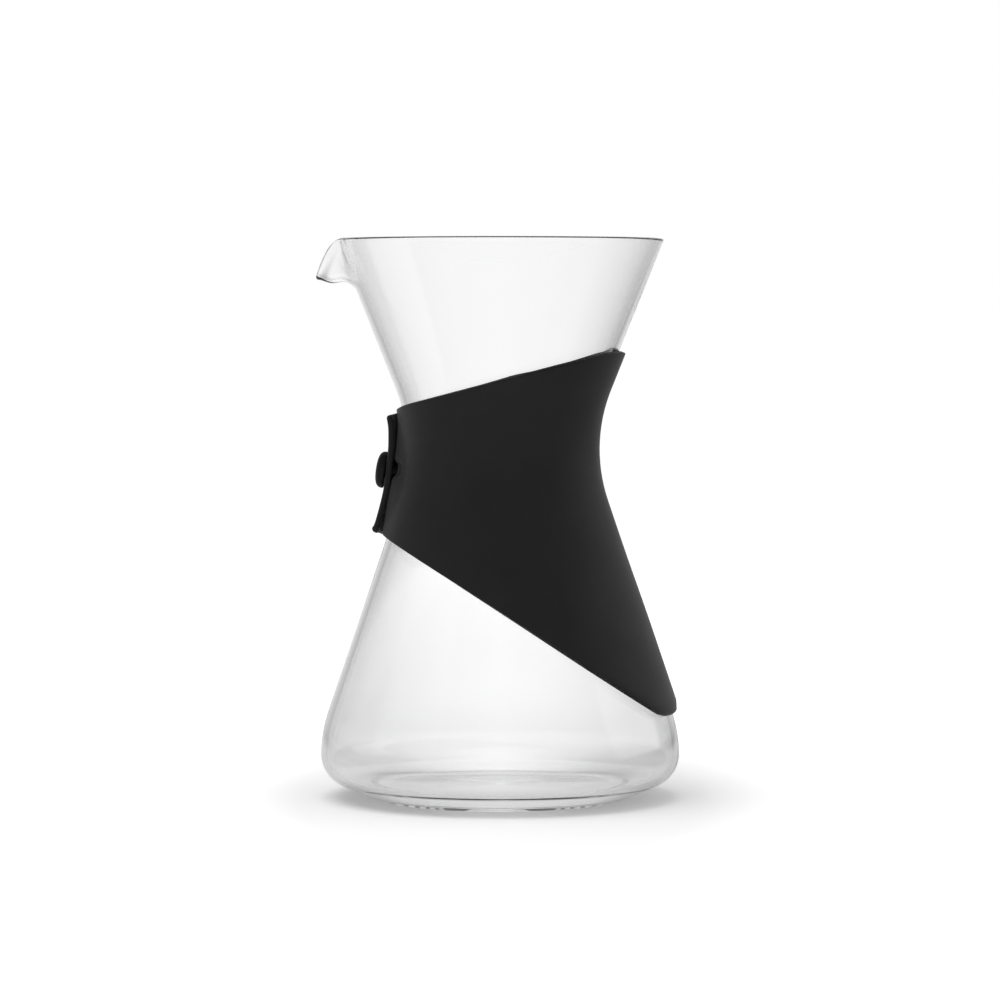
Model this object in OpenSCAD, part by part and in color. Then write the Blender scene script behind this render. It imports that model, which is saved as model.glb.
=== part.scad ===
// Hourglass coffee server: a blown glass vessel with a pulled spout, held by a silicone
// wrap that closes over a button stud under the spout. Lengths are in millimetres.
// The origin is the centre of the foot, +Z is up and the spout points to -X.

/* [Glass vessel] */
// Height from the foot to the top of the rim
vessel_h = 210; // [200:1:220]
// Outer radius of the rim
rim_r = 61.6; // [58:0.2:64]
// Outer radius of the waist
waist_r = 34.9; // [33:0.1:37]
// Height of the waist, as a share of the vessel's height
waist_share = 0.6238; // [0.6:0.0002:0.65]
// Radius of the waist's curve, seen from the side
waist_curve_r = 62.5; // [50:0.5:70]
// Largest outer radius of the body
belly_r = 67.4; // [65:0.2:72]
// Height of the largest radius
belly_z = 16.4; // [15:0.2:18]
// Radius of the shoulder curve above the belly, seen from the side
shoulder_r = 49.5; // [35:0.5:55]
// Radius of the heel curve below the belly, seen from the side
heel_r = 12; // [10:0.5:14]
// Outer radius of the foot
foot_r = 47.4; // [42:0.2:50]
// Width of the flat ring that the vessel stands on
foot_ring_w = 6; // [3:0.5:12]
// Height of the hollow under the floor
punt_h = 1.2; // [0.6:0.1:2]
// Wall thickness
wall = 2.4; // [1.8:0.1:3]
// Thickness of the floor above the foot
floor_t = 5.6; // [4.5:0.1:6.5]

/* [Spout] */
// Half of the width of rim that is pulled into the spout
spout_half_w = 19.5; // [14:0.5:24]
// How far the spout's tip stands out past the rim
spout_reach = 7; // [4:0.5:12]
// How far the spout's tip drops below the rim
spout_drop = 14; // [8:0.5:15]
// Depth below the rim at which the spout's floor leaves the wall
spout_root_h = 16.8; // [12:0.2:20]
// Length of wall on each side of the bend under the spout
spout_bend = 3.5; // [2:0.5:5]
// How far the spout's floor bows down between the bend and the tip
spout_sag = 0.8; // [0:0.1:1.5]
// Thickness of the glass at the spout's lip
spout_lip_t = 1.6; // [1.2:0.1:2.2]

/* [Sleeve] */
// Thickness of the silicone
sleeve_t = 1.9; // [1.4:0.1:2.4]
// Gap between the glass and the silicone
sleeve_gap = 0.3; // [0.2:0.05:0.5]
// Height of the top edge above the waist, on the vessel's axis
sleeve_top_h = 25.9; // [19:0.1:31]
// Rise of the top edge towards the back, in degrees
sleeve_top_a = 14.7; // [8:0.1:18]
// Height of the bottom edge on the vessel's axis, as a share of the waist's height
sleeve_bottom_share = 0.5496; // [0.52:0.0001:0.6]
// Fall of the bottom edge towards the back, in degrees
sleeve_bottom_a = 32.8; // [28:0.2:35]
// Radius of the bottom edge's slight bow
sleeve_bow_r = 1400; // [800:50:3000]
// Distance from the axis at which the back tip starts to round
tip_x = 56.4; // [44:0.1:58]
// Radius of the rounded back tip
tip_r = 10; // [8:1:45]
// Distance from the axis at which the top edge turns down at the back
back_x = 37.5; // [34:0.5:44]
// Radius of that turn
back_turn_r = 30; // [10:0.5:40]
// How far the wrap leans down to its far side, in degrees
sleeve_lean = 1.4; // [0:0.1:3]

/* [Closure] */
// Distance from the axis at which the top edge turns down to the closure
closure_x = 33.2; // [26:0.2:34]
// Radius of that turn
closure_turn_r = 12; // [8:0.5:20]
// How far the flap's inner face stands out from the glass
flap_lift = 4.9; // [4.4:0.1:5.4]
// Depth of the stud below the waist
stud_drop = 9.1; // [5:0.1:13]
// Radius of the stud's head
stud_head_r = 6.9; // [5.5:0.1:7.5]
// Thickness of the stud's head
stud_head_t = 3.5; // [2:0.1:4]
// Thickness of the rim of the head, below its dome
stud_edge_t = 1; // [0.6:0.1:1.5]
// Radius of the stud's stem
stud_stem_r = 3; // [2:0.1:3.5]
// Radius of the stud's inner flange
stud_flange_r = 6; // [5:0.1:7]
// Thickness of the stud's inner flange
stud_flange_t = 1; // [0.8:0.1:1.2]

/* [Hidden] */
$fn = 96;
heel_steps = 10;
shoulder_steps = 6;
waist_steps = 16;
rim_steps = 8;
punt_steps = 4;
edge_steps = 8;
spout_steps = 26;
spout_rise_steps = 14;
ramp_steps = 14;
ramp_edge_steps = 6;

// Angles round the vessel, counted from the spout towards the near side
stud_a = -3;
flap_end_a = 6;
flap_root_a = -34;
ramp_start_a = -60;
under_end_a = -28;
ramp_overlap_a = 3;
root_slit_a = 0.6;

// Clearances between pieces, and the overrun of a cut
stud_clear = 0.3;
flange_clear = 0.15;
rim_clear = 0.1;
tuck = 0.06;
overrun = 1;

// Outer corners of the pad that lifts over the stud's flange
pad_foot_w = 7;
pad_top_w = 1.5;
pad_cover_t = 1.55;
// Room that the stud's head needs in the flap as the flap swings out
head_room = 1.1;
// Length of wall that the spout shares with the vessel on each side
spout_overlap = 2;
// Share of the spout's rise that the bend takes, and the step that measures its slope
bend_share = 0.5;
slope_share = 0.002;
// Last slope of the top edge at the closure and at the back
closure_turn_end_a = 35;
back_turn_end_a = 5;
// Room left of the flap in the wrap's side view
outline_margin = 12.8;
// Middle of a wall's thickness
mid_share = 0.5;

// Heights that follow the vessel's
waist_z = vessel_h * waist_share;
spout_root_z = vessel_h - spout_root_h;
sleeve_top_z = waist_z + sleeve_top_h;
sleeve_bottom_z = waist_z * sleeve_bottom_share;
stud_z = waist_z - stud_drop;

// Tangent geometry of the vessel's side
waist_c = [waist_r + waist_curve_r, waist_z];
rim_v = [rim_r, vessel_h] - waist_c;
upper_a = 180 - atan2(rim_v[1], rim_v[0]) - acos(waist_curve_r / norm(rim_v));
shoulder_c = [belly_r - shoulder_r, belly_z];
neck_v = waist_c - shoulder_c;
lower_a = atan2(neck_v[1], neck_v[0]) - acos((waist_curve_r + shoulder_r) / norm(neck_v));
heel_c = [belly_r - heel_r, belly_z];
foot_v = [foot_r, 0] - heel_c;
heel_a = atan2(foot_v[1], foot_v[0]) + acos(heel_r / norm(foot_v));
inner_heel_r = belly_z - floor_t;
inner_heel_c = [belly_r - wall - inner_heel_r, belly_z];
punt_edge_r = foot_r - foot_ring_w;
punt_r = (pow(punt_edge_r, 2) + pow(punt_h, 2)) / (2 * punt_h);
cone_up = [sin(upper_a), cos(upper_a)];
cone_out = [cos(upper_a), -sin(upper_a)];

// Points on a circle from angle a0 to angle a1
function arc(c, r, a0, a1, steps) =
    [for (i = [0:steps]) let (a = a0 + (a1 - a0) * i / steps) c + r * [cos(a), sin(a)]];
function tail(list) = [for (i = [1:len(list) - 1]) list[i]];
function reversed(list) = [for (i = [len(list) - 1:-1:0]) list[i]];

// Outer radius of the upper cone at height z
function cone_r(z) = rim_r - (vessel_h - z) * tan(upper_a);

// The rim is a half round as thick as the wall
rim_round_r = wall / 2;
rim_c_z = vessel_h - rim_round_r;
rim_c = [cone_r(rim_c_z - rim_round_r * sin(upper_a)) - rim_round_r * cos(upper_a), rim_c_z];
rim_start = rim_c + rim_round_r * cone_out;

// The vessel's side at a distance d outside the glass, from the belly to the upper cone
function belly_curve(d) = arc(shoulder_c, shoulder_r + d, 0, lower_a, shoulder_steps);
function waist_curve(d) = arc(waist_c, waist_curve_r - d, 180 + lower_a, 180 - upper_a, waist_steps);
function skin_curve(d) =
    concat(belly_curve(d), waist_curve(d), [rim_start + d * cone_out]);

function glass_outline() = concat(
    arc([0, punt_h - punt_r], punt_r, 90, 90 - asin(punt_edge_r / punt_r), punt_steps),
    [[foot_r, 0]],
    arc(heel_c, heel_r, heel_a, 0, heel_steps),
    tail(belly_curve(0)),
    waist_curve(0),
    arc(rim_c, rim_round_r, -upper_a, 180 - upper_a, rim_steps),
    reversed(waist_curve(-wall)),
    reversed(belly_curve(-wall)),
    tail(arc(inner_heel_c, inner_heel_r, 0, -90, heel_steps)),
    [[0, floor_t]]);

// A closed solid through rings that have the same number of points, with each end closed by a
// strip across the ring
module loft(rings) {
    n = len(rings[0]);
    last = len(rings) - 1;
    sides = [for (i = [0:last - 1]) for (j = [0:n - 1]) let (k = (j + 1) % n)
        each [[i * n + j, i * n + k, (i + 1) * n + k], [i * n + j, (i + 1) * n + k, (i + 1) * n + j]]];
    strip = [for (j = [0:floor((n - 3) / 2)])
        each concat([[n - 1 - j, j, j + 1]], j + 2 < n - 1 - j ? [[n - 1 - j, j + 1, n - 2 - j]] : [])];
    first_cap = [for (f = strip) reversed(f)];
    last_cap = [for (f = strip) [for (v = f) last * n + v]];
    polyhedron(points = [for (ring = rings) each ring], faces = concat(sides, first_cap, last_cap));
}

// A point of a side outline, [radius, height], turned to angle a round the axis
function turned(p, a) = [p[0] * cos(a), p[0] * sin(a), p[1]];

// Spout: the rim end of the wall is pulled out and down by a share that fades to both sides
spout_a = asin(spout_half_w / rim_r);
spout_overlap_share = spout_overlap / spout_half_w;
spout_knee = [cone_r(spout_root_z), spout_root_z];
spout_foot = spout_knee - spout_bend * cone_up;
function pull_share(t) = abs(t) >= 1 ? 0 : (1 + cos(180 * t)) / 2;
function spout_lip(t) =
    rim_start + [spout_reach * pull_share(t), -spout_drop * pow(pull_share(t), 2)];
function bent(p0, p1, p2, q) = pow(1 - q, 2) * p0 + 2 * q * (1 - q) * p1 + pow(q, 2) * p2;

// The spout's outer face: t runs across it from -1 to 1, s up the wall from the bend to the lip
function spout_side(t, s) = let (
    arm = spout_lip(t) - spout_knee,
    knee_end = spout_knee + spout_bend * arm / norm(arm),
    q = (s - bend_share) / (1 - bend_share))
    s < 0 ? spout_foot + s * spout_overlap * cone_up
    : s < bend_share ? bent(spout_foot, spout_knee, knee_end, s / bend_share)
    : knee_end + q * (spout_lip(t) - knee_end) - [0, spout_sag * pull_share(t) * pow(sin(180 * q), 2)];
function spout_point(t, s) = turned(spout_side(t, s), 180 + t * spout_a);
function spout_rise(t, s) = spout_point(t, min(s + slope_share, 1)) - spout_point(t, s - slope_share);
function spout_across(t, s) = spout_point(t + slope_share, s) - spout_point(t - slope_share, s);
function unit(v) = v / norm(v);
function spout_out(t, s) = unit(cross(spout_across(t, s), spout_rise(t, s)));
function spout_t(t, s) = wall - 2 * tuck - (wall - spout_lip_t) * pull_share(t) * max(s, 0);
function spout_face(t, s, depth) = spout_point(t, s) - (tuck + depth * spout_t(t, s)) * spout_out(t, s);
function spout_round(t) = let (mid = spout_face(t, 1, mid_share), r = spout_t(t, 1) / 2)
    [for (i = [1:rim_steps - 1]) let (a = 180 * i / rim_steps)
        mid + r * (cos(a) * spout_out(t, 1) + sin(a) * unit(spout_rise(t, 1)))];
spout_levels = concat([-1], [for (i = [0:spout_rise_steps]) i / spout_rise_steps]);
function spout_ring(t) = concat(
    [for (s = spout_levels) spout_face(t, s, 0)],
    spout_round(t),
    [for (s = reversed(spout_levels)) spout_face(t, s, 1)]);

module spout() {
    reach = 1 + spout_overlap_share;
    loft([for (i = [0:spout_steps]) spout_ring(reach * (2 * i / spout_steps - 1))]);
}

// The slice of the upper cone that the spout takes the place of
module spout_slot() {
    slot_r = rim_r + spout_reach;
    translate([0, 0, spout_foot[1]])
        linear_extrude(height = vessel_h)
            polygon([[0, 0], slot_r * [cos(180 - spout_a), sin(180 - spout_a)],
                slot_r * [-1 / cos(spout_a), 0], slot_r * [cos(180 + spout_a), sin(180 + spout_a)]]);
}

module glass_vessel() {
    color([0.86, 0.91, 0.93, 0.45]) union() {
        difference() {
            rotate_extrude() polygon(glass_outline());
            spout_slot();
        }
        spout();
    }
}

// Side view of the wrap: every edge of the silicone is cut by this outline
outline_right = belly_r + spout_reach;
outline_left = waist_r + flap_lift + sleeve_t + outline_margin;
closure_turn_p = [-closure_x, sleeve_top_z - closure_x * tan(sleeve_top_a)];
closure_turn_c = closure_turn_p + closure_turn_r * [sin(sleeve_top_a), -cos(sleeve_top_a)];
back_turn_p = [back_x, sleeve_top_z + back_x * tan(sleeve_top_a)];
back_turn_c = back_turn_p + back_turn_r * [sin(sleeve_top_a), -cos(sleeve_top_a)];
bow_c = [0, sleeve_bottom_z] - sleeve_bow_r * [sin(sleeve_bottom_a), cos(sleeve_bottom_a)];
function bow_a(x) = acos(sin(sleeve_bottom_a) + x / sleeve_bow_r);
tip_start = bow_c + sleeve_bow_r * [cos(bow_a(tip_x)), sin(bow_a(tip_x))];
tip_c = tip_start + tip_r * [cos(bow_a(tip_x)), sin(bow_a(tip_x))];

function wrap_outline() = let (
    back_turn = arc(back_turn_c, back_turn_r, 90 - back_turn_end_a, 90 + sleeve_top_a, edge_steps),
    right_z = back_turn[0][1] - (outline_right - back_turn[0][0]) * tan(back_turn_end_a),
    turn = arc(closure_turn_c, closure_turn_r, 90 + sleeve_top_a, 90 + closure_turn_end_a, edge_steps),
    turn_end = turn[edge_steps],
    left_z = turn_end[1] - (outline_left + turn_end[0]) * tan(closure_turn_end_a))
    concat(
        [[outline_right, right_z]],
        back_turn,
        turn,
        [[-outline_left, left_z]],
        arc(bow_c, sleeve_bow_r, bow_a(-outline_left), bow_a(tip_x), edge_steps),
        tail(arc(tip_c, tip_r, 180 + bow_a(tip_x), 270, edge_steps)),
        [[outline_right, tip_c[1] - tip_r]]);

module wrap_cut() {
    rotate([90 - sleeve_lean, 0, 0])
        linear_extrude(height = 4 * belly_r, center = true)
            polygon(wrap_outline());
}

// A layer of silicone between two distances from the glass, over part of a turn
module layer(inner, outer, from_a, to_a) {
    rotate([0, 0, 180 + from_a])
        rotate_extrude(angle = to_a - from_a)
            polygon(concat(skin_curve(inner), reversed(skin_curve(outer))));
}

// The far end of the wrap climbs from the glass to the height of the flap, between the same edges
function skin_r(z, d) = let (low = waist_curve(d)[0])
    z < low[1] ? low[0] + (low[1] - z) * tan(lower_a)
    : waist_c[0] - sqrt(pow(waist_curve_r - d, 2) - pow(z - waist_z, 2));
function round_z(c, r, x) = c[1] + sqrt(pow(r, 2) - pow(x - c[0], 2));
closure_turn_end_x = closure_turn_c[0] - closure_turn_r * sin(closure_turn_end_a);
function top_edge(x) = x > -closure_x ? sleeve_top_z + x * tan(sleeve_top_a)
    : x > closure_turn_end_x ? round_z(closure_turn_c, closure_turn_r, x)
    : round_z(closure_turn_c, closure_turn_r, closure_turn_end_x)
        + (x - closure_turn_end_x) * tan(closure_turn_end_a);
function bottom_edge(x) = round_z(bow_c, sleeve_bow_r, x);
// Height of an edge at angle a and distance d, found by repeated steps from a first height
function edge_z(top, a, d, z, steps) = let (
    p = turned([skin_r(z, d), z], 180 + a),
    side_z = top ? top_edge(p[0]) : bottom_edge(p[0]),
    next_z = (side_z - p[1] * sin(sleeve_lean)) / cos(sleeve_lean))
    steps == 0 ? z : edge_z(top, a, d, next_z, steps - 1);
function climb(a) = let (q = max(0, min(1, (a - ramp_start_a) / (flap_root_a - ramp_start_a))))
    sleeve_gap + (flap_lift - sleeve_gap) * pow(q, 2) * (3 - 2 * q);
function ramp_face(a, d) = let (
    low = edge_z(false, a, d, stud_z, ramp_edge_steps) + tuck,
    high = edge_z(true, a, d, waist_z, ramp_edge_steps) - tuck)
    [for (i = [0:waist_steps]) let (z = low + (high - low) * i / waist_steps)
        turned([skin_r(z, d), z], 180 + a)];
function ramp_ring(a) = concat(
    ramp_face(a, climb(a) + sleeve_t - tuck),
    reversed(ramp_face(a, climb(a) + tuck)));
module ramp() {
    ramp_from = ramp_start_a - ramp_overlap_a;
    ramp_to = flap_root_a - root_slit_a;
    loft([for (i = [0:ramp_steps]) ramp_ring(ramp_from + (ramp_to - ramp_from) * i / ramp_steps)]);
}

// Place children on the stud's axis, which is square to the glass, with the glass face at zero
stud_tilt = asin((waist_z - stud_z) / waist_curve_r);
stud_glass_r = waist_c[0] - waist_curve_r * cos(stud_tilt);
module at_stud() {
    rotate([0, 0, 180 + stud_a])
        translate([stud_glass_r, 0, stud_z])
            rotate([0, 90 - stud_tilt, 0])
                children();
}

// Heights of the closure's layers on the stud's axis
flange_low = 2 * sleeve_gap;
flange_top = flange_low + stud_flange_t;
pocket_top = flange_top + flange_clear;
pad_top = pocket_top + pad_cover_t;
flap_outer = flap_lift + sleeve_t;
// The flap's outer face rises above and below the stud, because the waist is hollow
flap_rise = pow(stud_head_r, 2) / (2 * (waist_curve_r - flap_outer));
head_low = flap_outer + flap_rise + stud_clear;
head_top = head_low + stud_head_t;

// The near end is raised into a flat pad over the stud's flange
module stud_pad() {
    difference() {
        at_stud() cylinder(h = pad_top, r1 = stud_flange_r + pad_foot_w, r2 = stud_flange_r + pad_top_w);
        rotate_extrude() polygon(concat([[0, vessel_h], [0, belly_z]], skin_curve(sleeve_gap)));
    }
}

module stud_holes() {
    at_stud() {
        translate([0, 0, -overrun])
            cylinder(h = pocket_top + overrun, r = stud_flange_r + stud_clear);
        cylinder(h = pad_top + overrun, r = stud_stem_r + flange_clear);
    }
}

module sleeve_wrap() {
    color([0.13, 0.13, 0.14]) difference() {
        union() {
            intersection() {
                layer(sleeve_gap, sleeve_gap + sleeve_t, under_end_a, 360 + ramp_start_a);
                wrap_cut();
            }
            ramp();
            stud_pad();
        }
        stud_holes();
    }
}

// The window in the flap that the stud's head passes through, open at the flap's free end
module head_window(gap) {
    window_r = stud_head_r + head_room - gap;
    at_stud() translate([0, 0, pad_top]) {
        cylinder(h = head_top, r = window_r);
        translate([-window_r, 0, 0])
            cube([2 * window_r, 2 * window_r + overrun, head_top]);
    }
}

module flap_sheet() {
    intersection() {
        layer(flap_lift, flap_outer, flap_root_a, flap_end_a);
        wrap_cut();
    }
}

module closure_flap() {
    color([0.15, 0.15, 0.16]) difference() {
        flap_sheet();
        head_window(0);
    }
}

// The part of the flap round the button hole, which stretches over the stud's head
module buttonhole_rim() {
    color([0.18, 0.18, 0.19]) difference() {
        intersection() {
            flap_sheet();
            head_window(rim_clear);
        }
        at_stud() cylinder(h = head_top, r = stud_stem_r + stud_clear);
    }
}

// Mushroom stud: inner flange, stem and domed head
module closure_stud() {
    dome_h = stud_head_t - stud_edge_t;
    dome_r = (pow(stud_head_r, 2) + pow(dome_h, 2)) / (2 * dome_h);
    dome_c = [0, head_top - dome_r];
    color([0.1, 0.1, 0.11]) at_stud()
        rotate_extrude()
            polygon(concat(
                [[0, flange_low], [stud_flange_r, flange_low], [stud_flange_r, flange_top]],
                [[stud_stem_r, flange_top], [stud_stem_r, head_low], [stud_head_r, head_low]],
                arc(dome_c, dome_r, 90 - asin(stud_head_r / dome_r), 90, edge_steps)));
}

glass_vessel();
sleeve_wrap();
closure_flap();
buttonhole_rim();
closure_stud();
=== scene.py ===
import math

import bmesh
import bpy
import numpy as np
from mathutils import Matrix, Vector

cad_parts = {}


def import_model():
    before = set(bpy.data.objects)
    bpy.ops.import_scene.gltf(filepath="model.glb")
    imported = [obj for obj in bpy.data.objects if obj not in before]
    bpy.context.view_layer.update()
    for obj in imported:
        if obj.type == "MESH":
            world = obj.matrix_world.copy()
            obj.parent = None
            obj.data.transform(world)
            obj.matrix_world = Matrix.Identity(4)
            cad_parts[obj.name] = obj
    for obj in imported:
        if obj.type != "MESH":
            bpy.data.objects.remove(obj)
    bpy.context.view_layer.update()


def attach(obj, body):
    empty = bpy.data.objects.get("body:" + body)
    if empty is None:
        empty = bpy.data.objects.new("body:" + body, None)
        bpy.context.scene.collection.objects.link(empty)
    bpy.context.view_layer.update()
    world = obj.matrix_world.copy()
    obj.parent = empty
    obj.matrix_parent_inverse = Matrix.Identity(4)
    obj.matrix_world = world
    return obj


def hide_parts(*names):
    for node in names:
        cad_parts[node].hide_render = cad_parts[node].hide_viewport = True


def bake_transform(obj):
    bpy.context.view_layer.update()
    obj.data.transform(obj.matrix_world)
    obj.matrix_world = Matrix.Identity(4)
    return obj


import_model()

# Sizes in millimetres. They are the solids', apart from FLOOR_T and RIM_T: the glass is thinner here
# at the floor and at the rim
VESSEL_H, RIM_R = 210.0, 61.6
WAIST_R, WAIST_Z, WAIST_CURVE_R = 34.9, 131.0, 62.5
BELLY_R, BELLY_Z, SHOULDER_R = 67.4, 16.4, 49.5
HEEL_R, FOOT_R, FOOT_RING_W, PUNT_H = 12.0, 47.4, 6.0, 1.2
WALL, FLOOR_T, FLOOR_TURN_R, RIM_T = 2.4, 3.2, 6.0, 1.6
SPOUT_HALF_W, SPOUT_REACH, SPOUT_DROP = 19.5, 7.0, 14.0
SPOUT_ROOT_Z, SPOUT_BEND, SPOUT_SAG, SPOUT_LIP_T, SPOUT_BEAD = 193.2, 3.5, 0.8, 1.6, 0.5
SLEEVE_T, SLEEVE_GAP = 1.9, 0.3
TOP_Z, TOP_A = 156.9, 14.7
BOTTOM_Z, BOTTOM_A, BOW_R = 72.0, 32.8, 1400.0
TIP_X, TIP_R, LEAN = 56.4, 10.0, 1.4
BACK_X, BACK_TURN_R, BACK_TURN_END = 37.5, 30.0, 5.0
CLOSURE_X, CLOSURE_TURN_R, CLOSURE_TURN_END = 33.2, 12.0, 35.0
FLAP_LIFT = 4.9
STUD_Z, STUD_A = 121.9, -3.0
FLAP_END, FLAP_ROOT, RAMP_START, UNDER_END = 6.0, -34.0, -60.0, -28.0
SEAM_A = RAMP_START - 8.0
BEND_SHARE = 0.5

# Fine form of the glass: the foot's rounded edge as steps out and up from FOOT_R, radii of the floor's rings,
# half the arc round the spout that has close rows, how square the lip is, and where the spout's bead starts
FOOT_EDGE = [(-0.9, 0.0), (-0.45, 0.03), (0.0, 0.12), (0.5, 0.3)]
FLOOR_RINGS = (36.0, 26.0, 16.0, 7.0)
SPOUT_ZONE, ZONE_STEP, REST_STEPS = 21.0, 0.5, 161
LIP_SQUARE, BEAD_FROM = 0.42, 0.84

# Soft form of the silicone: sag of the flap's edges and of the far top edge, rounded edges, closeness to the glass
FLAP_FALL, FLAP_HANG, FALL_SPAN, FAR_DIP = 2.3, 1.4, 50.0, 1.0
EDGE_OUT, EDGE_IN, FLAP_EDGE, FIT = 0.55, 0.35, 1.2, 0.1
ROWS, EDGE_ROWS = 46, 7
FLAP_CORNER, FLAP_CORNER_ROWS, FLAP_FINE, FLAP_END_EDGE, FLAP_BEAD = 2.2, 10, 26.0, 0.8, 0.35
BULGE_H, BULGE_LOW, BULGE_WIDE, BULGE_UP, BULGE_DOWN = 2.3, 3.0, 17.0, 28.0, 21.0
DENT_DEPTH, DENT_SIDE, DENT_HALF_W, DENT_UP, DENT_R, DENT_FADE = 1.45, 4.0, 5.0, 1.2, 1.6, 2.4
NEAR_R, FLAP_R = 38.0, 42.0
NEAR_FINE_END = 26.0
TIP_LENGTH, TIP_DEPTH, TIP_SPAN = 3.6, 1.25, 55.0

# Holes on the stud's axis: radius, and from and to which distance from the glass
NEAR_HOLE = (3.9, 0.2, 6.0)
FLAP_HOLE = (3.3, 4.2, 9.5)
HINGE_Z = 122.0

rad, deg = np.radians, np.degrees


def sind(a):
    return np.sin(rad(a))


def cosd(a):
    return np.cos(rad(a))


def tand(a):
    return np.tan(rad(a))


# Tangent geometry of the vessel's side
waist_c = np.array([WAIST_R + WAIST_CURVE_R, WAIST_Z])
rim_v = np.array([RIM_R, VESSEL_H]) - waist_c
upper_a = 180 - deg(math.atan2(rim_v[1], rim_v[0])) - deg(math.acos(WAIST_CURVE_R / np.hypot(*rim_v)))
shoulder_c = np.array([BELLY_R - SHOULDER_R, BELLY_Z])
neck_v = waist_c - shoulder_c
lower_a = deg(math.atan2(neck_v[1], neck_v[0])) - deg(math.acos((WAIST_CURVE_R + SHOULDER_R) / np.hypot(*neck_v)))
heel_c = np.array([BELLY_R - HEEL_R, BELLY_Z])
foot_v = np.array([FOOT_R, 0.0]) - heel_c
heel_a = deg(math.atan2(foot_v[1], foot_v[0])) + deg(math.acos(HEEL_R / np.hypot(*foot_v)))
heel_in = heel_c + (HEEL_R - WALL) * np.array([cosd(heel_a), sind(heel_a)])
floor_edge = heel_in[0] - (heel_in[1] - FLOOR_T) / tand(90 + heel_a)
floor_c = np.array([floor_edge - FLOOR_TURN_R * tand((90 + heel_a) / 2), FLOOR_T + FLOOR_TURN_R])
punt_edge = FOOT_R - FOOT_RING_W
punt_r = (punt_edge ** 2 + PUNT_H ** 2) / (2 * PUNT_H)
cone_up = np.array([sind(upper_a), cosd(upper_a)])
cone_out = np.array([cosd(upper_a), -sind(upper_a)])


def cone_r(z):
    return RIM_R - (VESSEL_H - z) * tand(upper_a)


def arc(c, r, a0, a1, n):
    a = rad(np.linspace(a0, a1, n + 1))
    return np.stack([c[0] + r * np.cos(a), c[1] + r * np.sin(a)], 1)


rim_round = WALL / 2
rim_cz = VESSEL_H - rim_round
rim_c = np.array([cone_r(rim_cz - rim_round * sind(upper_a)) - rim_round * cosd(upper_a), rim_cz])
rim_start = rim_c + rim_round * cone_out


def mesh_object(name, verts_mm, faces, sharp=35.0):
    mesh = bpy.data.meshes.new(name)
    mesh.from_pydata([tuple(v) for v in np.asarray(verts_mm) / 1000.0], [], faces)
    bm = bmesh.new()
    bm.from_mesh(mesh)
    bmesh.ops.remove_doubles(bm, verts=bm.verts, dist=1e-7)
    bmesh.ops.recalc_face_normals(bm, faces=bm.faces)
    bm.to_mesh(mesh)
    bm.free()
    for p in mesh.polygons:
        p.use_smooth = True
    mesh.set_sharp_from_angle(angle=math.radians(sharp))
    obj = bpy.data.objects.new(name, mesh)
    bpy.context.scene.collection.objects.link(obj)
    return obj


def ring_faces(n_rings, n):
    """Quads between rings of n points each; the points of a ring form a loop."""
    faces = []
    for i in range(n_rings - 1):
        k = i + 1
        for j in range(n):
            m = (j + 1) % n
            faces.append((i * n + j, i * n + m, k * n + m, k * n + j))
    return faces


# Glass vessel: one closed surface of revolution whose rim is pulled into the spout
spout_a = deg(math.asin(SPOUT_HALF_W / RIM_R))
knee = np.array([cone_r(SPOUT_ROOT_Z), SPOUT_ROOT_Z])
spout_foot = knee - SPOUT_BEND * cone_up


def pull(t):
    return np.where(np.abs(t) >= 1, 0.0, (1 + np.cos(np.pi * np.clip(t, -1, 1))) / 2)


def spout_side(t, s):
    """Outer face in the plane of the axis: radius and height at t across and s up the wall."""
    u = pull(t)
    lip_r = rim_start[0] + SPOUT_REACH * u
    lip_z = rim_start[1] - SPOUT_DROP * u ** 2
    arm_r, arm_z = lip_r - knee[0], lip_z - knee[1]
    length = np.hypot(arm_r, arm_z)
    end_r, end_z = knee[0] + SPOUT_BEND * arm_r / length, knee[1] + SPOUT_BEND * arm_z / length
    q = np.clip(s / BEND_SHARE, 0, 1)
    bend_r = (1 - q) ** 2 * spout_foot[0] + 2 * q * (1 - q) * knee[0] + q ** 2 * end_r
    bend_z = (1 - q) ** 2 * spout_foot[1] + 2 * q * (1 - q) * knee[1] + q ** 2 * end_z
    p = np.clip((s - BEND_SHARE) / (1 - BEND_SHARE), 0, 1)
    line_r = end_r + p * (lip_r - end_r)
    line_z = end_z + p * (lip_z - end_z) - SPOUT_SAG * u * np.sin(np.pi * p) ** 2
    low = s < BEND_SHARE
    return np.where(low, bend_r, line_r), np.where(low, bend_z, line_z)


def spout_point(t, s):
    r, z = spout_side(t, s)
    a = rad(180 + t * spout_a)
    return np.stack([r * np.cos(a), r * np.sin(a), z], -1)


def unit(v):
    return v / np.linalg.norm(v, axis=-1, keepdims=True)


STEP = 0.004


def spout_rise(t, s):
    return unit(spout_point(t, np.clip(s + STEP, 0, 1)) - spout_point(t, np.clip(s - STEP, 0, 1)))


def spout_out(t, s):
    across = spout_point(t + STEP, s) - spout_point(t - STEP, s)
    return unit(np.cross(across, spout_rise(t, s)))


waist_top = waist_c[1] + WAIST_CURVE_R * sind(upper_a)


def wall_t(z):
    """Wall above the waist: it thins evenly towards the rim."""
    return WALL - (WALL - RIM_T) * (z - waist_top) / (VESSEL_H - waist_top)


def spout_thick(t, s):
    """Thickness of the glass at t across and s up the spout, with a bead along the lip."""
    bead = SPOUT_BEAD * np.sqrt(pull(t)) * smooth((s - BEAD_FROM) / (1 - BEAD_FROM))
    z = np.interp(s, [0, BEND_SHARE, 1], [spout_foot[1], 2 * knee[1] - spout_foot[1], rim_start[1]])
    return wall_t(z) + (SPOUT_LIP_T - RIM_T) * pull(t) * s + bead


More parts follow.
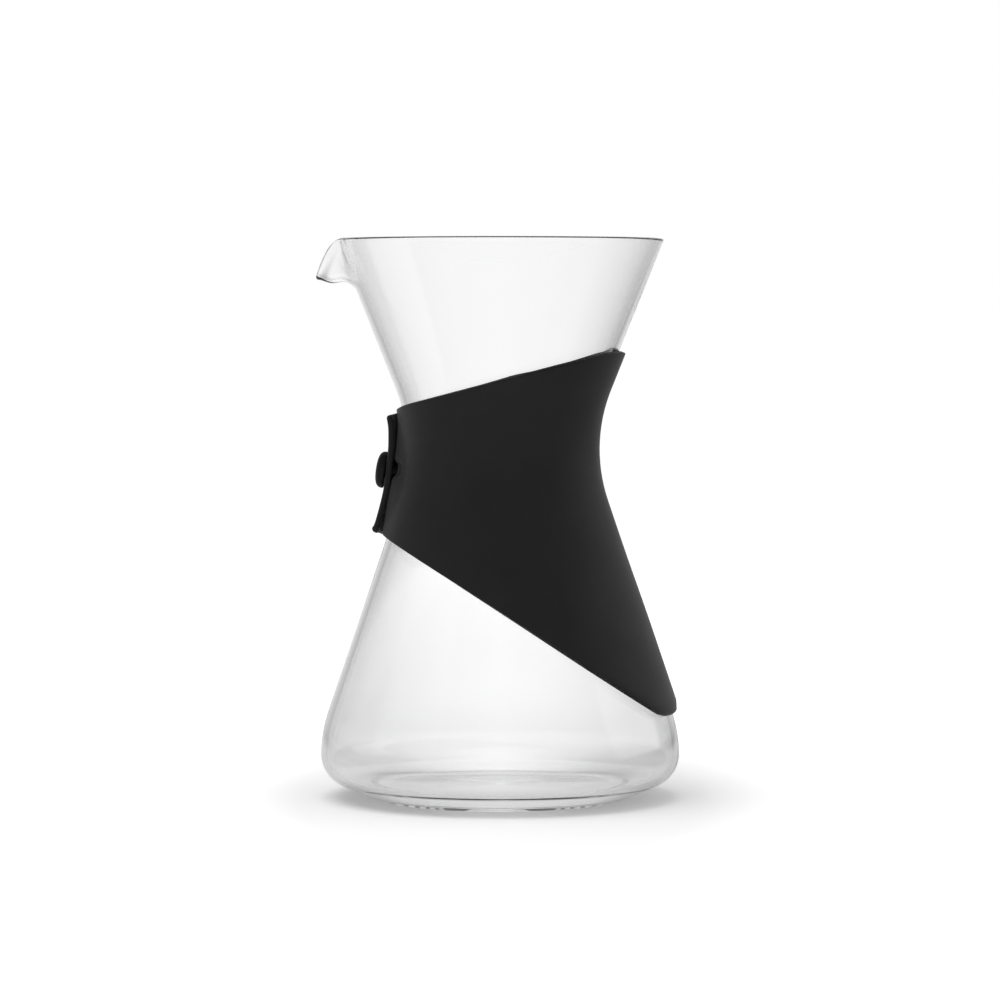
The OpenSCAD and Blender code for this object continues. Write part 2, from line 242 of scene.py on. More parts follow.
def between(start, end, parts):
    """The points that cut a straight line into equal parts, without its two ends."""
    return start + np.linspace(0, 1, parts + 1)[1:-1, None] * (end - start)


def glass():
    """Rows from the middle of the underside up the outer face, over the lip and down the inner face."""
    near = np.arange(-SPOUT_ZONE, SPOUT_ZONE + ZONE_STEP / 2, ZONE_STEP)
    rest = np.linspace(SPOUT_ZONE, 360 - SPOUT_ZONE, REST_STEPS)[1:-1]
    phi = np.concatenate([near, rest])
    phi = np.where(phi > 180, phi - 360, phi)
    t = phi / spout_a
    a = rad(180 + phi)
    n = len(phi)
    rows = []

    def turn(points):
        for r, z in points:
            rows.append(np.stack([r * np.cos(a), r * np.sin(a), np.full(n, z)], -1))

    punt_a = deg(math.asin(punt_edge / punt_r))
    turn(arc([0, PUNT_H - punt_r], punt_r, 90, 90 - punt_a, 10)[1:])
    turn([(punt_edge + 1.0, 0.0)])
    turn([(FOOT_R + out, up) for out, up in FOOT_EDGE])
    turn(arc(heel_c, HEEL_R, heel_a, 0, 16))
    shoulder = arc(shoulder_c, SHOULDER_R, 0, lower_a, 10)
    turn(shoulder[1:])
    waist = arc(waist_c, WAIST_CURVE_R, 180 + lower_a, 180 - upper_a, 30)
    turn(between(shoulder[-1], waist[0], 13))
    turn(waist)
    turn(between(waist[-1], spout_foot, 8))
    levels = np.concatenate([np.linspace(0, BEND_SHARE, 15), np.linspace(BEND_SHARE, 1, 19)[1:]])
    for s in levels:
        rows.append(spout_point(t, np.full(n, s)))
    one = np.ones(n)
    out, rise = spout_out(t, one), spout_rise(t, one)
    half = spout_thick(t, one)[:, None] / 2
    mid = spout_point(t, one) - half * out
    tall = half + (WALL / 2 - half) * (1 - pull(t))[:, None]
    power = (LIP_SQUARE + (1 - LIP_SQUARE) * np.sqrt(pull(t)))[:, None]
    for b in rad(np.linspace(0, 180, 21)[1:-1]):
        across, above = np.sign(math.cos(b)) * abs(math.cos(b)) ** power, math.sin(b) ** power
        rows.append(mid + half * across * out + tall * above * rise)
    for s in levels[::-1]:
        level = np.full(n, s)
        rows.append(spout_point(t, level) - spout_thick(t, level)[:, None] * spout_out(t, level))
    waist_in = arc(waist_c, WAIST_CURVE_R + WALL, 180 + lower_a, 180 - upper_a, 30)
    foot_in = spout_foot - wall_t(spout_foot[1]) * cone_out
    turn(between(foot_in, waist_in[-1], 8))
    turn(waist_in[::-1])
    shoulder_in = arc(shoulder_c, SHOULDER_R - WALL, 0, lower_a, 10)
    turn(between(waist_in[0], shoulder_in[-1], 13))
    turn(shoulder_in[::-1])
    turn(arc(heel_c, HEEL_R - WALL, 0, heel_a, 12)[1:])
    turn(arc(floor_c, FLOOR_TURN_R, heel_a, -90, 10))
    turn([(r, FLOOR_T) for r in FLOOR_RINGS])
    verts = np.concatenate(rows + [np.array([[0, 0, PUNT_H], [0, 0, FLOOR_T]])])
    faces = ring_faces(len(rows), n)
    first, last = len(rows) * n, len(rows) * n + 1
    top = (len(rows) - 1) * n
    for j in range(n):
        k = (j + 1) % n
        faces.append((first, j, k))
        faces.append((last, top + k, top + j))
    return mesh_object("glass_body", verts, faces, sharp=20.0)


# Silicone: edges of the wrap in side view, and the skin at a distance from the glass
closure_p = np.array([-CLOSURE_X, TOP_Z - CLOSURE_X * tand(TOP_A)])
closure_c = closure_p + CLOSURE_TURN_R * np.array([sind(TOP_A), -cosd(TOP_A)])
back_p = np.array([BACK_X, TOP_Z + BACK_X * tand(TOP_A)])
back_c = back_p + BACK_TURN_R * np.array([sind(TOP_A), -cosd(TOP_A)])
bow_c = np.array([0, BOTTOM_Z]) - BOW_R * np.array([sind(BOTTOM_A), cosd(BOTTOM_A)])
tip_a = deg(math.acos(sind(BOTTOM_A) + TIP_X / BOW_R))
tip_start = bow_c + BOW_R * np.array([cosd(tip_a), sind(tip_a)])
tip_c = tip_start + TIP_R * np.array([cosd(tip_a), sind(tip_a)])


def skin_r(z, d):
    """Radius at height z of the face that lies d outside the glass."""
    low_z = waist_c[1] - (WAIST_CURVE_R - d) * sind(lower_a)
    low_r = waist_c[0] - (WAIST_CURVE_R - d) * cosd(lower_a)
    high_z = waist_c[1] + (WAIST_CURVE_R - d) * sind(upper_a)
    high_r = waist_c[0] - (WAIST_CURVE_R - d) * cosd(upper_a)
    waist = waist_c[0] - np.sqrt(np.maximum((WAIST_CURVE_R - d) ** 2 - (z - WAIST_Z) ** 2, 1.0))
    return np.where(z < low_z, low_r + (low_z - z) * tand(lower_a),
                    np.where(z > high_z, high_r + (z - high_z) * tand(upper_a), waist))


def top_edge(x):
    """The wrap's top line in side view: a rising straight, turned down towards the closure and over the back."""
    line = TOP_Z + x * tand(TOP_A)
    end_x = closure_c[0] - CLOSURE_TURN_R * sind(CLOSURE_TURN_END)
    end_z = closure_c[1] + CLOSURE_TURN_R * cosd(CLOSURE_TURN_END)
    turn = closure_c[1] + np.sqrt(np.maximum(CLOSURE_TURN_R ** 2 - (x - closure_c[0]) ** 2, 0.01))
    beyond = end_z + (x - end_x) * tand(CLOSURE_TURN_END)
    front = np.where(x > -CLOSURE_X, line, np.where(x > end_x, turn, beyond))
    last_x = back_c[0] + BACK_TURN_R * sind(BACK_TURN_END)
    last_z = back_c[1] + BACK_TURN_R * cosd(BACK_TURN_END)
    turn = back_c[1] + np.sqrt(np.maximum(BACK_TURN_R ** 2 - (x - back_c[0]) ** 2, 0.01))
    beyond = last_z - (x - last_x) * tand(BACK_TURN_END)
    return np.where(x < BACK_X, front, np.where(x < last_x, turn, beyond))


def flap_edges(phi):
    """Edges of the far end: they fall a little below the wrap's lines on their way to the free end."""
    share = float(smooth((phi - SEAM_A) / FALL_SPAN))

    def top(x):
        return TOP_Z + x * tand(TOP_A) - FLAP_FALL * share

    def bottom(x):
        return bottom_edge(x) - FLAP_HANG * share

    return top, bottom


def bottom_edge(x):
    """The wrap's bottom line in side view: a long bow, and the rounded tip at the low back."""
    bow = bow_c[1] + np.sqrt(BOW_R ** 2 - (x - bow_c[0]) ** 2)
    tip = tip_c[1] - np.sqrt(np.maximum(TIP_R ** 2 - (x - tip_c[0]) ** 2, 0.01))
    return np.where(x < TIP_X, bow, tip)


def edge_z(edge, a, d, z):
    """Height where a line of the side view meets the skin at angle a, found step by step from a first guess z."""
    for _ in range(9):
        r = skin_r(z, d)
        x, y = r * np.cos(a), r * np.sin(a)
        z = 0.35 * z + 0.65 * (edge(x) - y * sind(LEAN)) / cosd(LEAN)
    return z


def far_dip(a):
    """The far side of the top edge lies a little lower towards the back."""
    return FAR_DIP * smooth((sind(a) - 0.1) / 0.3) * smooth((cosd(a) - 0.1) / 0.4)


def smooth(q):
    q = np.clip(q, 0, 1)
    return q * q * (3 - 2 * q)


def rounding(e, length, depth):
    """How much a rounded edge takes off a face at a distance e from the edge."""
    q = np.clip(1 - e / length, 0, 1)
    return depth * (1 - np.sqrt(np.maximum(1 - q * q, 0)))


def row_shares(height, length):
    """Distances up the sheet, closer together at its two rounded edges."""
    e = length * (1 - np.cos(np.linspace(0, np.pi / 2, EDGE_ROWS)))
    mid = np.linspace(length, height - length, ROWS)[1:-1]
    return np.concatenate([e, mid, height - e[::-1]])


def skin_normal(z, d):
    """Direction out of the glass, as radius and height, on the face that lies d outside it."""
    rise = np.clip((WAIST_Z - z) / (WAIST_CURVE_R - d), -sind(upper_a), sind(lower_a))
    return np.stack([np.sqrt(1 - rise ** 2), rise], -1)


def sheet_ring(phi, inner, bulge=None, shorten=0.0, thin=0.0, tip_round=None, bead=0.0,
               edge_out=EDGE_OUT, top=top_edge, bottom=bottom_edge):
    """One section of the silicone at angle phi: outer face up, then inner face down."""
    a = rad(180 + phi)
    z_low = float(edge_z(bottom, a, inner, np.array(90.0))) + shorten
    z_high = float(edge_z(top, a, inner, np.array(150.0))) - shorten - float(far_dip(180 + phi))
    loops = []
    for depth, sign, edge_r in ((SLEEVE_T, -1, edge_out), (FIT - SLEEVE_GAP, 1, EDGE_IN)):
        e = row_shares(z_high - z_low, edge_r)
        z = z_low + e
        take = rounding(e, edge_r, edge_r) + rounding(e[::-1], edge_r, edge_r)
        if sign < 0 and tip_round is not None:
            take = np.maximum(take, rounding(e, tip_round[0], tip_round[1]))
        off = depth + sign * np.maximum(take, thin if sign < 0 else 0.6 * thin)
        if sign < 0 and bead:
            off = off + bead * np.exp(-((e - 1.1) / 0.9) ** 2)
        if bulge is not None:
            off = off + bulge(phi, z)
        point = np.stack([skin_r(z, inner), z], -1) + off[:, None] * skin_normal(z, inner)
        loops.append(np.stack([point[:, 0] * np.cos(a), point[:, 0] * np.sin(a), point[:, 1]], -1))
    return np.concatenate([loops[0], loops[1][::-1]])


def sheet_object(name, rings):
    """The sections joined up, with both ends closed."""
    n = len(rings[0])
    verts = np.concatenate(rings)
    faces = ring_faces(len(rings), n)
    for base in (0, (len(rings) - 1) * n):
        for j in range(n // 2 - 1):
            faces.append((base + j, base + j + 1, base + n - 2 - j, base + n - 1 - j))
    return mesh_object(name, verts, faces, sharp=38.0)


# The near end of the wrap lifts over the stud's flange
stud_tilt = deg(math.asin((WAIST_Z - STUD_Z) / WAIST_CURVE_R))
stud_glass_r = waist_c[0] - WAIST_CURVE_R * cosd(stud_tilt)


def stud_bulge(phi, z):
    """The near end swells round the stud, with a drawn-out dent beside the stem."""
    across = rad(phi - STUD_A) * NEAR_R
    up = z - (STUD_Z - BULGE_LOW)
    tall = np.where(up > 0, BULGE_UP, BULGE_DOWN)
    q = np.sqrt((across / BULGE_WIDE) ** 2 + (up / tall) ** 2)
    beside = np.maximum(np.abs(across - DENT_SIDE) - DENT_HALF_W, 0)
    dent = 1 - smooth((np.hypot(beside, z - STUD_Z - DENT_UP) - DENT_R) / DENT_FADE)
    return BULGE_H * (1 - smooth((q - 0.3) / 0.7)) - DENT_DEPTH * dent


def back_ease(phi, z):
    """The low back stands off the glass a little."""
    return smooth((abs(phi) - 110) / 50) * (0.35 + 0.4 * smooth((100 - z) / 40))


def wrap_bulge(phi, z):
    return stud_bulge(phi, z) if abs(phi) < 60 else back_ease(phi, z)


def flap_bulge(phi, z):
    """The flap stands a little prouder where it is stretched over the stud, and closer below it."""
    proud = 0.6 * np.exp(-((z - 125.0) / 8.0) ** 2)
    close = 0.85 * smooth((119.0 - z) / 17.0) + 0.35 * smooth((z - 134.0) / 7.0)
    return smooth((phi - FLAP_ROOT + 4) / 24) * (proud - close)


def tip_rounding(phi):
    """The low back tip is rounded over most of its thickness."""
    near = smooth(1 - abs(abs(phi) - 180) / TIP_SPAN)
    return (EDGE_OUT + TIP_LENGTH * near, EDGE_OUT + TIP_DEPTH * near)


def wrap():
    near_end = np.linspace(UNDER_END, NEAR_FINE_END, 61)
    phi = np.concatenate([near_end, np.linspace(NEAR_FINE_END, 360 + SEAM_A, 136)[1:]])
    rings = []
    for p in phi:
        folded = p if p <= 180 else p - 360
        rings.append(sheet_ring(folded, SLEEVE_GAP, bulge=wrap_bulge, tip_round=tip_rounding(folded)))
    return sheet_object("silicone_wrap", rings)


def climb(phi):
    """Distance of the far end from the glass: it climbs onto the near end."""
    q = smooth((phi - RAMP_START) / (FLAP_ROOT - RAMP_START))
    return SLEEVE_GAP + (FLAP_LIFT - SLEEVE_GAP) * q


def flap():
    mm = 1 / rad(1) / FLAP_R  # degrees in a millimetre along the flap
    corner = FLAP_CORNER * (1 - np.cos(np.linspace(0, np.pi / 2, FLAP_CORNER_ROWS)))
    from_end = np.concatenate([corner, np.linspace(FLAP_CORNER, FLAP_FINE, 24)[1:]])
    end = FLAP_END - from_end[::-1] * mm
    phi = np.concatenate([np.linspace(SEAM_A, end[0], 46)[:-1], end])
    rings = []
    for p in phi:
        e = max((FLAP_END - p) / mm, 0.0)
        shorten = float(rounding(np.array(e), FLAP_CORNER, FLAP_CORNER))
        thin = float(rounding(np.array(e), FLAP_END_EDGE, FLAP_END_EDGE))
        bead = FLAP_BEAD * float(smooth((p - FLAP_ROOT - 4) / 26))
        upper, lower = flap_edges(p)
        rings.append(sheet_ring(p, float(climb(p)), bulge=flap_bulge, shorten=shorten, thin=thin, bead=bead,
                                edge_out=FLAP_EDGE, top=upper, bottom=lower))
    return sheet_object("silicone_flap", rings)


def stud_axis(points):
    """Points on the stud's axis frame, to the vessel's frame: z is out of the glass."""
    points = np.asarray(points, float)
    t, b = rad(stud_tilt), rad(180 + STUD_A)
    out = np.array([math.cos(t) * math.cos(b), math.cos(t) * math.sin(b), math.sin(t)])
    side = np.array([-math.sin(b), math.cos(b), 0.0])
    up = np.cross(side, out) * -1
    origin = np.array([stud_glass_r * math.cos(b), stud_glass_r * math.sin(b), STUD_Z])
    return origin + points[:, [0]] * side + points[:, [1]] * up + points[:, [2]] * out


def revolve(profile, steps=72):
    """Points and faces of a profile of radius and height turned about the axis."""
    rings = []
    for i in range(steps):
        b = 2 * math.pi * i / steps
        rings.append(np.stack([profile[:, 0] * math.cos(b), profile[:, 0] * math.sin(b), profile[:, 1]], -1))
    n = len(profile)
    faces = []
    for i in range(steps):
        k = (i + 1) % steps
        for j in range(n - 1):
            faces.append((i * n + j, i * n + j + 1, k * n + j + 1, k * n + j))
    return np.concatenate(rings), faces


HEAD_T, DOME_POWER = 3.65, 2.8


def stud():
    head_r, flange_r, stem_r = 6.9, 6.0, 3.0
    flange_low, flange_top, flange_edge = 0.6, 1.6, 0.3
    foot_fillet, neck_fillet = 0.4, 0.5
    flap_outer = FLAP_LIFT + SLEEVE_T
    head_low = flap_outer + head_r ** 2 / (2 * (WAIST_CURVE_R - flap_outer)) + 0.3
    edge_r = 0.45
    b = rad(np.linspace(0, 90, 21))
    dome = np.stack([head_r * np.cos(b) ** (2 / DOME_POWER),
                     head_low + edge_r + (HEAD_T - edge_r) * np.sin(b) ** (2 / DOME_POWER)], 1)
    dome[-1, 0] = 0.0
    profile = np.concatenate([
        [[0.0, flange_low], [flange_r - flange_edge, flange_low]],
        arc([flange_r - flange_edge, flange_low + flange_edge], flange_edge, -90, 0, 4)[1:],
        arc([flange_r - flange_edge, flange_top - flange_edge], flange_edge, 0, 90, 4),
        [[stem_r + foot_fillet, flange_top]],
        arc([stem_r + foot_fillet, flange_top + foot_fillet], foot_fillet, -90, -180, 4)[1:],
        arc([stem_r + neck_fillet, head_low - neck_fillet], neck_fillet, 180, 90, 4),
        arc([head_r - edge_r, head_low + edge_r], edge_r, -90, 0, 6)[:-1],
        dome])
    verts, faces = revolve(profile)
    return mesh_object("silicone_stud", stud_axis(verts), faces, sharp=48.0)


def punch(obj, radius, low, high):
    """Cuts a round hole on the stud's axis, between two distances from the glass."""
    pts, faces = revolve(np.array([[0.0, low], [radius, low], [radius, high], [0.0, high]]), 48)
    cutter = mesh_object("hole_cutter", stud_axis(pts), faces)
    mod = obj.modifiers.new("hole", "BOOLEAN")
    mod.operation = "DIFFERENCE"
    mod.solver = "EXACT"
    mod.object = cutter
    bpy.context.view_layer.update()
    done = bpy.data.meshes.new_from_object(obj.evaluated_get(bpy.context.evaluated_depsgraph_get()))
    obj.modifiers.clear()
    obj.data = done
    bpy.data.objects.remove(cutter, do_unlink=True)
    obj.data.set_sharp_from_angle(angle=math.radians(38))


def nodes_of(name):
    mat = bpy.data.materials.new(name)
    mat.use_nodes = True
    tree = mat.node_tree
    shader = tree.nodes["Principled BSDF"]
    return mat, tree, shader


def noise(tree, scale, detail=2.0, rough=0.5, stretch=None):
    coord = tree.nodes.new("ShaderNodeTexCoord")
    node = tree.nodes.new("ShaderNodeTexNoise")
    node.inputs["Scale"].default_value = scale
    node.inputs["Detail"].default_value = detail
    node.inputs["Roughness"].default_value = rough
    if stretch is None:
        tree.links.new(coord.outputs["Object"], node.inputs["Vector"])
    else:
        mapping = tree.nodes.new("ShaderNodeMapping")
        mapping.inputs["Scale"].default_value = stretch
        tree.links.new(coord.outputs["Object"], mapping.inputs["Vector"])
        tree.links.new(mapping.outputs["Vector"], node.inputs["Vector"])
    return node


def ramp(tree, source, low, high, p0=0.3, p1=0.7):
    node = tree.nodes.new("ShaderNodeValToRGB")
    node.color_ramp.elements[0].position = p0
    node.color_ramp.elements[0].color = (*low, 1)
    node.color_ramp.elements[1].position = p1
    node.color_ramp.elements[1].color = (*high, 1)
    tree.links.new(source, node.inputs["Fac"])
    return node


def glass_material():
    mat, tree, shader = nodes_of("clear_glass")
    shader.inputs["Base Color"].default_value = (0.998, 0.998, 1.0, 1)
    shader.inputs["Transmission Weight"].default_value = 1.0
    shader.inputs["IOR"].default_value = 1.47
    shader.inputs["Roughness"].default_value = 0.0
    wave = noise(tree, 22.0, 1.0, 0.4, (1.0, 1.0, 0.45))
    bump = tree.nodes.new("ShaderNodeBump")
    bump.inputs["Strength"].default_value = 0.05
    bump.inputs["Distance"].default_value = 0.0012
    tree.links.new(wave.outputs["Fac"], bump.inputs["Height"])
    tree.links.new(bump.outputs["Normal"], shader.inputs["Normal"])
    absorb = tree.nodes.new("ShaderNodeVolumeAbsorption")
    absorb.inputs["Color"].default_value = (0.795, 0.800, 0.815, 1)
    absorb.inputs["Density"].default_value = 10.0
    tree.links.new(absorb.outputs["Volume"], tree.nodes["Material Output"].inputs["Volume"])
    return mat


def silicone_material(name, dark, light, rough, sheen):
    mat, tree, shader = nodes_of(name)
    cloud = noise(tree, 60.0, 3.0)
    tint = ramp(tree, cloud.outputs["Fac"], dark, light)
    tree.links.new(tint.outputs["Color"], shader.inputs["Base Color"])
    patch = noise(tree, 35.0, 2.0)
    gloss = ramp(tree, patch.outputs["Fac"], (rough - 0.04,) * 3, (rough + 0.05,) * 3)
    tree.links.new(gloss.outputs["Color"], shader.inputs["Roughness"])
    shader.inputs["Specular IOR Level"].default_value = 0.17
    shader.inputs["Sheen Weight"].default_value = sheen
    shader.inputs["Sheen Roughness"].default_value = 0.45
    grain = noise(tree, 3200.0, 2.0, 0.6)
    bump = tree.nodes.new("ShaderNodeBump")
    bump.inputs["Strength"].default_value = 0.10
    bump.inputs["Distance"].default_value = 0.0002
    tree.links.new(grain.outputs["Fac"], bump.inputs["Height"])
    tree.links.new(bump.outputs["Normal"], shader.inputs["Normal"])
    return mat


glass_mat = glass_material()
wrap_mat = silicone_material("matte_silicone", (0.0120, 0.0120, 0.0129), (0.0152, 0.0152, 0.0162), 0.50, 0.14)
stud_mat = silicone_material("satin_silicone", (0.0045, 0.0045, 0.0048), (0.0065, 0.0065, 0.0069), 0.48, 0.03)

body = glass()
body.data.materials.append(glass_mat)
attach(body, "vessel")
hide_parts("glass_vessel")

near = wrap()
near.data.materials.append(wrap_mat)
punch(near, *NEAR_HOLE)
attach(near, "sleeve")
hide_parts("sleeve_wrap")

button = stud()
button.data.materials.append(stud_mat)
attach(button, "sleeve")
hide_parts("closure_stud")

lid = flap()
lid.data.materials.append(wrap_mat)
punch(lid, *FLAP_HOLE)


def flap_place(phi, out):
    """A place on the flap at the stud's height, in metres."""
    r = float(skin_r(np.array(HINGE_Z), np.array(FLAP_LIFT + out)))
    return (r * cosd(180 + phi) / 1000, r * sind(180 + phi) / 1000, HINGE_Z / 1000)


flap_place(FLAP_ROOT - 4, 1.0)
flap_place(FLAP_ROOT + 18, 1.0)
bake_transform(lid)
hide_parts("closure_flap", "buttonhole_rim")


# Camera at the photo's angle
EYE = Vector((0.0, -1.501, 0.1895))
TARGET = Vector((0.0, 0.0, 0.1118))
cam_data = bpy.data.cameras.new("camera")
cam_data.sensor_width = 36.0
cam_data.lens = 144.0
cam = bpy.data.objects.new("camera", cam_data)
cam.location = EYE
cam.rotation_euler = (TARGET - EYE).to_track_quat("-Z", "Y").to_euler()
bpy.context.scene.collection.objects.link(cam)
bpy.context.scene.camera = cam


# Pale floor with a painted shadow and painted light round the object, and soft studio light
def seen(tree):
    """1 for rays that show the background: straight from the camera, mirrored or through glass."""
    path = tree.nodes.new("ShaderNodeLightPath")
    first = tree.nodes.new("ShaderNodeMath")
    first.operation = "MAXIMUM"
    tree.links.new(path.outputs["Is Camera Ray"], first.inputs[0])
    tree.links.new(path.outputs["Is Glossy Ray"], first.inputs[1])
    both = tree.nodes.new("ShaderNodeMath")
    both.operation = "MAXIMUM"
    tree.links.new(first.outputs[0], both.inputs[0])
    tree.links.new(path.outputs["Is Transmission Ray"], both.inputs[1])
    return both


# Brightness that mirrored and refracted rays meet, by degrees from straight behind the object:
# a white backdrop, darker cards beside it that draw the edges of the glass, and soft sides.
# The floor has its own, as painted shade on the floor's colour and glow, near the object and far from it; the far one
# joins up with the backdrop.
BACKDROP = [(-180, 0.62), (-145, 0.58), (-115, 0.36), (-85, 0.28), (-55, 0.30), (-30, 0.46), (-16, 0.64), (-9, 0.85),
            (-6, 0.92), (-3, 0.98), (0, 1.0), (3, 0.98), (6, 0.92), (9, 0.85), (16, 0.62), (30, 0.42), (55, 0.28),
            (85, 0.30), (115, 0.42), (145, 0.58), (180, 0.62)]
GROUND = [(-180, 0.85), (-140, 0.78), (-110, 0.60), (-75, 0.52), (-45, 0.56), (-28, 0.64), (-16, 0.80), (-8, 0.88),
          (0, 0.93), (8, 0.88), (16, 0.80), (28, 0.62), (45, 0.52), (75, 0.50), (110, 0.58), (140, 0.78), (180, 0.85)]
GROUND_FAR = [(-180, 0.85), (-140, 0.78), (-110, 0.56), (-75, 0.40), (-45, 0.36), (-30, 0.45), (-16, 0.62),
              (-9, 0.825), (-6, 0.893), (-3, 0.951), (0, 0.971), (3, 0.951), (6, 0.893), (9, 0.825), (16, 0.60),
              (30, 0.38), (45, 0.16), (75, 0.18), (110, 0.48), (140, 0.78), (180, 0.85)]


# High up the backdrop is dimmer: from which to which height of the direction, and how much
DIM_FROM, DIM_TO, DIM_LEVEL = 0.25, 0.75, 0.45

# Glow of the floor at distances in metres from the object's middle, seen straight and through the glass. Seen
# straight it is an oval, narrower across, lower round the object: a painted shadow. Through the glass it is brighter
# under the foot, painted light standing for the light that the glass lets through, and lower further out: a painted
# shadow.
FLOOR_GLOW_PAINTED_SHADOW = [(0.0, 0.36), (0.055, 0.34), (0.080, 0.27), (0.14, 0.25), (0.18, 0.25), (0.23, 0.36), (0.30, 0.50),
              (1.3, 0.62)]
GLASS_GLOW_PAINTED_LIGHT_AND_SHADOW = [(0.0, 0.62), (0.038, 0.58), (0.048, 0.50), (0.070, 0.56), (0.15, 0.36), (0.25, 0.30), (1.3, 0.62)]
FLOOR_REACH, PAINTED_SHADOW_SQUEEZE = 1.3, 2.4
FLOOR_HALF, FLOOR_Z, FLOOR_WHITE = 30.0, -0.0001, 0.92
FAR_FROM, FAR_TO = 0.22, 0.42
WORLD_LIGHT = 0.45


def times(tree, one, other):
    """The product of two colours. One of them may be a plain grey."""
    node = tree.nodes.new("ShaderNodeMix")
    node.data_type = "RGBA"
    node.blend_type = "MULTIPLY"
    node.inputs["Factor"].default_value = 1.0
    if isinstance(one, float):
        node.inputs[6].default_value = (one, one, one, 1)
    else:
        tree.links.new(one, node.inputs[6])
    tree.links.new(other, node.inputs[7])
    return node.outputs[2]


def blend(tree, share, first, second):
    """From the first colour to the second by a share from 0 to 1."""
    node = tree.nodes.new("ShaderNodeMix")
    node.data_type = "RGBA"
    tree.links.new(share, node.inputs["Factor"])
    tree.links.new(first, node.inputs[6])
    if second is None:
        node.inputs[7].default_value = (1, 1, 1, 1)
    else:
        tree.links.new(second, node.inputs[7])
    return node.outputs[2]


def greys(tree, source, stops):
    """Grey levels along a value from 0 to 1."""
    node = tree.nodes.new("ShaderNodeValToRGB")
    tree.links.new(source, node.inputs["Fac"])
    elements = node.color_ramp.elements
    while len(elements) < len(stops):
        elements.new(0.5)
    for e, (position, v) in zip(elements, stops):
        e.position = position
        e.color = (v, v, v, 1)
    return node.outputs["Color"]


def span(tree, source, start, end, low=0.0, high=1.0):
    """A value's way from start to end, as a value from low to high."""
    node = tree.nodes.new("ShaderNodeMapRange")
    for name, v in (("From Min", start), ("From Max", end), ("To Min", low), ("To Max", high)):
        node.inputs[name].default_value = v
    tree.links.new(source, node.inputs["Value"])
    return node.outputs["Result"]


def vector(tree, operation, source):
    node = tree.nodes.new("ShaderNodeVectorMath")
    node.operation = operation
    tree.links.new(source, node.inputs[0])
    return node


def card(tree, direction, stops):
    """Grey by the angle round the object, dimmer high up; white for rays straight from the camera."""
    split = tree.nodes.new("ShaderNodeSeparateXYZ")
    tree.links.new(direction, split.inputs[0])
    angle = tree.nodes.new("ShaderNodeMath")
    angle.operation = "ARCTAN2"
    tree.links.new(split.outputs["X"], angle.inputs[0])
    tree.links.new(split.outputs["Y"], angle.inputs[1])
    turn = span(tree, angle.outputs[0], -math.pi, math.pi)
    shade = greys(tree, turn, [(0.5 + degrees / 360, v) for degrees, v in stops])
    height = span(tree, split.outputs["Z"], DIM_FROM, DIM_TO, 1.0, DIM_LEVEL)
    path = tree.nodes.new("ShaderNodeLightPath")
    return blend(tree, path.outputs["Is Camera Ray"], times(tree, shade, height), None)


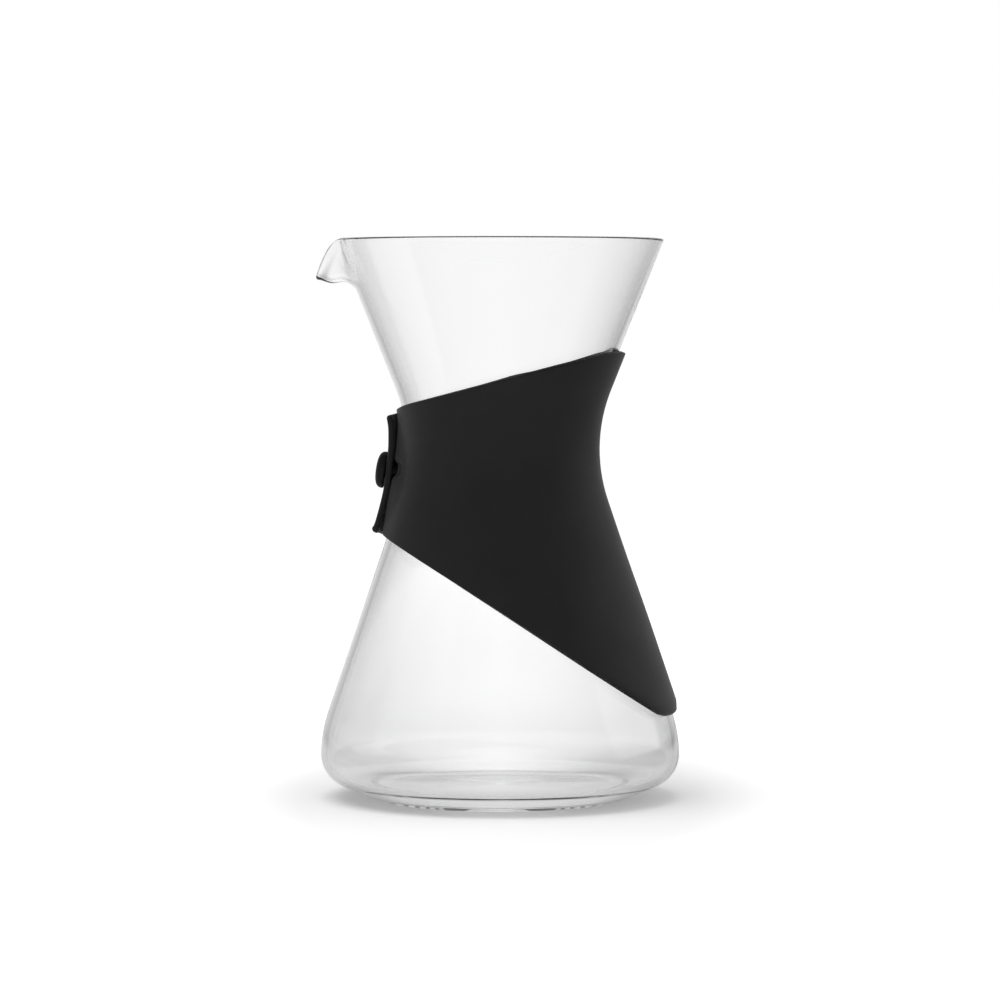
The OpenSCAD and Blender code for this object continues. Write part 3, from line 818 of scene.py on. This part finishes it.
def floor():
    mesh = bpy.data.meshes.new("floor")
    corners = [(-1, -1), (1, -1), (1, 1), (-1, 1)]
    mesh.from_pydata([(x * FLOOR_HALF, y * FLOOR_HALF, FLOOR_Z) for x, y in corners], [], [(0, 1, 2, 3)])
    obj = bpy.data.objects.new("floor", mesh)
    bpy.context.scene.collection.objects.link(obj)
    mat = bpy.data.materials.new("floor_white")
    mat.use_nodes = True
    tree = mat.node_tree
    tree.nodes.clear()
    out = tree.nodes.new("ShaderNodeOutputMaterial")
    place = tree.nodes.new("ShaderNodeTexCoord").outputs["Object"]
    reach = vector(tree, "LENGTH", place).outputs["Value"]
    squeeze = vector(tree, "MULTIPLY", place)
    squeeze.inputs[1].default_value = (PAINTED_SHADOW_SQUEEZE, 1, 1)
    oval = vector(tree, "LENGTH", squeeze.outputs[0]).outputs["Value"]
    away = span(tree, reach, FAR_FROM, FAR_TO)
    # Painted shade: for rays not straight from the camera, the floor's colour and glow are darker by the angle round
    # the object
    shade = blend(tree, away, card(tree, place, GROUND), card(tree, place, GROUND_FAR))
    diffuse = tree.nodes.new("ShaderNodeBsdfDiffuse")
    tree.links.new(times(tree, FLOOR_WHITE, shade), diffuse.inputs["Color"])
    levels = []
    # Painted light and shade on the floor. Seen straight, the glow is lower in an oval round the object, which is a
    # painted shadow. Seen through the glass, it is brighter under the foot, which is painted light, and lower further
    # out.
    for distance, stops in ((reach, GLASS_GLOW_PAINTED_LIGHT_AND_SHADOW), (oval, FLOOR_GLOW_PAINTED_SHADOW)):
        share = span(tree, distance, 0.0, FLOOR_REACH)
        levels.append(greys(tree, share, [(r / FLOOR_REACH, v) for r, v in stops]))
    path = tree.nodes.new("ShaderNodeLightPath")
    level = blend(tree, path.outputs["Is Camera Ray"], *levels)
    glow = tree.nodes.new("ShaderNodeEmission")
    tree.links.new(times(tree, level, shade), glow.inputs["Color"])
    tree.links.new(seen(tree).outputs[0], glow.inputs["Strength"])
    add = tree.nodes.new("ShaderNodeAddShader")
    tree.links.new(diffuse.outputs[0], add.inputs[0])
    tree.links.new(glow.outputs[0], add.inputs[1])
    tree.links.new(add.outputs[0], out.inputs["Surface"])
    mesh.materials.append(mat)


floor()


def world():
    w = bpy.data.worlds.new("studio")
    bpy.context.scene.world = w
    w.use_nodes = True
    tree = w.node_tree
    tree.nodes.clear()
    out = tree.nodes.new("ShaderNodeOutputWorld")
    show = seen(tree)
    coord = tree.nodes.new("ShaderNodeTexCoord")
    shown = tree.nodes.new("ShaderNodeBackground")
    tree.links.new(card(tree, coord.outputs["Generated"], BACKDROP), shown.inputs["Color"])
    light = tree.nodes.new("ShaderNodeBackground")
    light.inputs["Color"].default_value = (1, 1, 1, 1)
    light.inputs["Strength"].default_value = WORLD_LIGHT
    mix = tree.nodes.new("ShaderNodeMixShader")
    tree.links.new(show.outputs[0], mix.inputs["Fac"])
    tree.links.new(light.outputs[0], mix.inputs[1])
    tree.links.new(shown.outputs[0], mix.inputs[2])
    tree.links.new(mix.outputs[0], out.inputs["Surface"])


world()


def area(name, place, aim, size, power):
    data = bpy.data.lights.new(name, "AREA")
    data.shape = "RECTANGLE"
    data.size, data.size_y = size
    data.energy = power
    obj = bpy.data.objects.new(name, data)
    obj.location = place
    obj.rotation_euler = (Vector(aim) - Vector(place)).to_track_quat("-Z", "Y").to_euler()
    bpy.context.scene.collection.objects.link(obj)
    return obj


top = area("top_soft", (-0.25, -0.15, 1.25), (0, 0, 0.1), (1.2, 1.2), 8.0)
top.visible_glossy = False
top.visible_transmission = False
area("left_panel", (-1.2, -0.55, 0.45), (0, 0, 0.13), (1.2, 1.3), 1.0)
area("right_panel", (1.3, 0.25, 0.45), (0, 0, 0.11), (1.2, 1.3), 2.6)

# light is mirrored many times inside the rim and the thick base before it leaves the glass
bounces = bpy.context.scene.cycles
bounces.max_bounces, bounces.glossy_bounces, bounces.transmission_bounces = 40, 24, 24
bpy.context.scene.view_settings.view_transform = "Standard"
bpy.context.view_layer.update()
